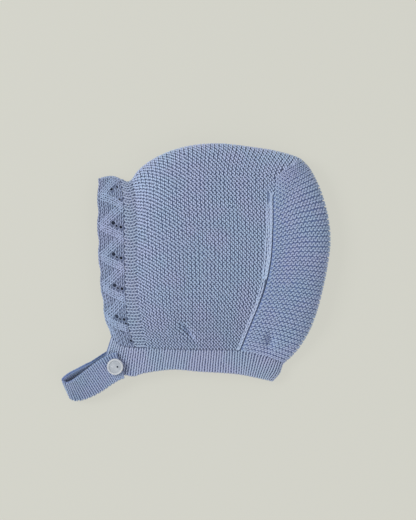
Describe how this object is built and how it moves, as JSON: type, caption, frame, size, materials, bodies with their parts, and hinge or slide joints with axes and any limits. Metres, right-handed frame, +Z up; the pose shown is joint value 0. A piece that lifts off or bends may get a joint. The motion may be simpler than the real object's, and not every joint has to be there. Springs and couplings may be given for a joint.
{
  "type": "knitted baby bonnet",
  "caption": "Knitted baby bonnet lying on its side: garter-stitch panels, openwork lace face edge, ribbed neckband and a buttoned chin strap looped in front.",
  "frame": {"origin": "on the surface it lies on, below the middle of the whole bonnet's box", "axes": "+Z up out of the surface; +X from the face opening to the back of the head; +Y from the neckband to the crown"},
  "size_m": [0.1808, 0.1742, 0.0285],
  "materials": {
    "garter_knit": "soft matte dusty-blue yarn in garter stitch",
    "rib_knit": "soft matte dusty-blue yarn in one-by-one rib",
    "lace_knit": "soft matte dusty-blue yarn in openwork",
    "pearl_button": "pale pearly gloss with a dished face",
    "sewing_thread": "twisted blue sewing thread"
  },
  "bodies": {
    "root": {"main_panel": "garter_knit", "back_panel": "garter_knit", "front_rib": "rib_knit", "lace_trim": "lace_knit", "neckband": "rib_knit", "chin_strap": "rib_knit", "button": "pearl_button", "button_thread": "sewing_thread"}
  },
  "joints": []
}
